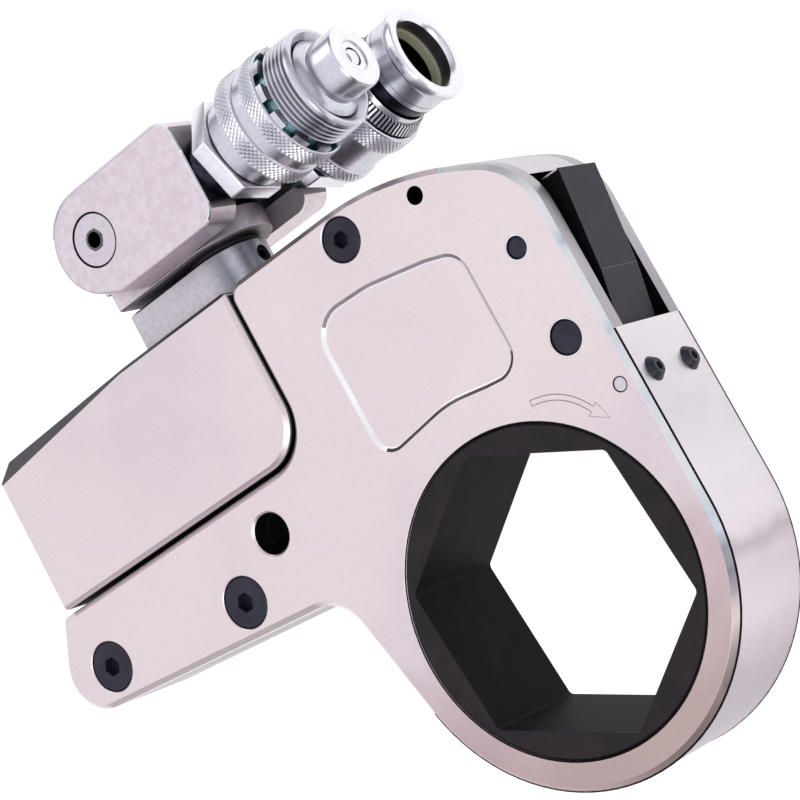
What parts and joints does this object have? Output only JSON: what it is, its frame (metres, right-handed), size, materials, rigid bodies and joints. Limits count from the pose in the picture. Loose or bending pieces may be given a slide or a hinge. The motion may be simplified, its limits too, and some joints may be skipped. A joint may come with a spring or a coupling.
{
  "type": "hydraulic torque wrench",
  "caption": "Low-profile hydraulic torque wrench: through-hexagon ratchet link with reaction arm, notched cylinder head and a turning, tilting twin hose swivel.",
  "frame": {"origin": "centre of the hexagon drive, halfway through the tool's width", "axes": "+X from the piston end towards the nose, +Y from the hexagon up to the hose swivel, +Z out of the front side plate, along the hexagon's axis; the tool lies flat on its rear side"},
  "size_m": [0.1809, 0.1782, 0.057],
  "materials": {
    "plate_steel": "satin nickel-plated steel, ground flat",
    "black_oxide": "black oxide on steel",
    "hardened_steel": "hardened tool steel, oiled",
    "bright_steel": "bright steel",
    "zinc_steel": "zinc-plated steel",
    "spring_steel": "spring steel",
    "seal_rubber": "nitrile rubber",
    "seal_pale": "pale polyurethane"
  },
  "bodies": {
    "link": {"front_plate": "plate_steel", "rear_plate": "plate_steel", "nose_band": "plate_steel", "band_screws": "black_oxide", "crown_spacer": "plate_steel", "arm_spacer": "plate_steel", "arm_screws": "black_oxide", "crown_screw": "black_oxide", "dowel": "bright_steel", "stop_pin": "black_oxide", "pawl_pivot_pin": "black_oxide", "head_housing": "plate_steel", "end_cap": "hardened_steel", "end_cap_seal": "seal_rubber", "rod_seal": "seal_rubber", "pedestal": "plate_steel", "pedestal_screws": "black_oxide", "lock_screw": "black_oxide", "swivel_post": "hardened_steel", "swivel_seal": "seal_rubber"},
    "ratchet": {"ratchet": "black_oxide"},
    "drive_lever": {"lever_plate_front": "hardened_steel", "lever_plate_rear": "hardened_steel", "guide_block": "hardened_steel", "guide_dowels": "hardened_steel", "drive_pawl_springs": "spring_steel"},
    "drive_pawl": {"drive_pawl": "hardened_steel"},
    "piston_rod": {"piston": "hardened_steel", "piston_seal": "seal_rubber", "piston_rod": "bright_steel", "rod_nut": "hardened_steel", "drive_pin": "hardened_steel"},
    "holding_pawl": {"holding_pawl": "black_oxide", "holding_pawl_spring": "spring_steel"},
    "swivel": {"yoke": "plate_steel", "retaining_ring": "hardened_steel", "axle_seals": "seal_rubber"},
    "manifold": {"tilt_block": "plate_steel", "port_plug": "black_oxide", "tilt_axle": "hardened_steel", "axle_caps": "hardened_steel", "front_coupler_body": "zinc_steel", "ball_spring": "spring_steel", "rear_coupler_body": "zinc_steel", "mouth_seal": "seal_pale", "valve_spring": "spring_steel"},
    "front_collar": {"front_collar": "zinc_steel", "lock_ring": "zinc_steel"},
    "check_ball": {"check_ball": "bright_steel"},
    "rear_sleeve": {"rear_sleeve": "zinc_steel", "rear_ring": "zinc_steel"},
    "valve": {"valve": "hardened_steel"}
  },
  "joints": [
    {"name": "ratchet_spin", "type": "hinge", "parent": "link", "child": "ratchet", "pos_m": [0, 0, 0], "axis": [0, 0, 1], "continuous": true},
    {"name": "piston_stroke", "type": "slide", "parent": "link", "child": "piston_rod", "axis": [1, 0, 0], "range_m": [0, 0.02404]},
    {"name": "lever_swing", "type": "hinge", "parent": "link", "child": "drive_lever", "pos_m": [0, 0, 0], "axis": [0, 0, 1], "range_deg": [-18.01, 0]},
    {"name": "drive_pawl_lift", "type": "slide", "parent": "drive_lever", "child": "drive_pawl", "axis": [0.1564, -0.9877, 0], "range_m": [0, 0.002], "stiffness_N_per_m": 400, "springref_m": 0.004},
    {"name": "holding_pawl_release", "type": "hinge", "parent": "link", "child": "holding_pawl", "pos_m": [0.0333, 0.0438, 0], "axis": [0, 0, 1], "range_deg": [0, 5], "stiffness_Nm_per_rad": 0.4, "springref_deg": -20.05},
    {"name": "swivel_turn", "type": "hinge", "parent": "link", "child": "swivel", "pos_m": [-0.0446, 0.11, 0], "axis": [0, 1, 0], "continuous": true},
    {"name": "swivel_tilt", "type": "hinge", "parent": "swivel", "child": "manifold", "pos_m": [-0.0585, 0.1221, 0], "axis": [0, 0, 1], "range_deg": [0, 180]},
    {"name": "front_collar_turn", "type": "hinge", "parent": "manifold", "child": "front_collar", "pos_m": [0, 0.1206, 0.01445], "axis": [1, 0, 0], "continuous": true},
    {"name": "check_ball_push", "type": "slide", "parent": "manifold", "child": "check_ball", "axis": [-1, 0, 0], "range_m": [0, 0.002], "stiffness_N_per_m": 300, "springref_m": -0.003},
    {"name": "rear_sleeve_turn", "type": "hinge", "parent": "manifold", "child": "rear_sleeve", "pos_m": [0, 0.1206, -0.01445], "axis": [1, 0, 0], "continuous": true},
    {"name": "valve_push", "type": "slide", "parent": "manifold", "child": "valve", "axis": [-1, 0, 0], "range_m": [0, 0.002], "stiffness_N_per_m": 300, "springref_m": -0.003}
  ],
  "couplings": [
    {"joint": "lever_swing", "follows": "piston_stroke", "rad_per_m": -13.067}
  ]
}
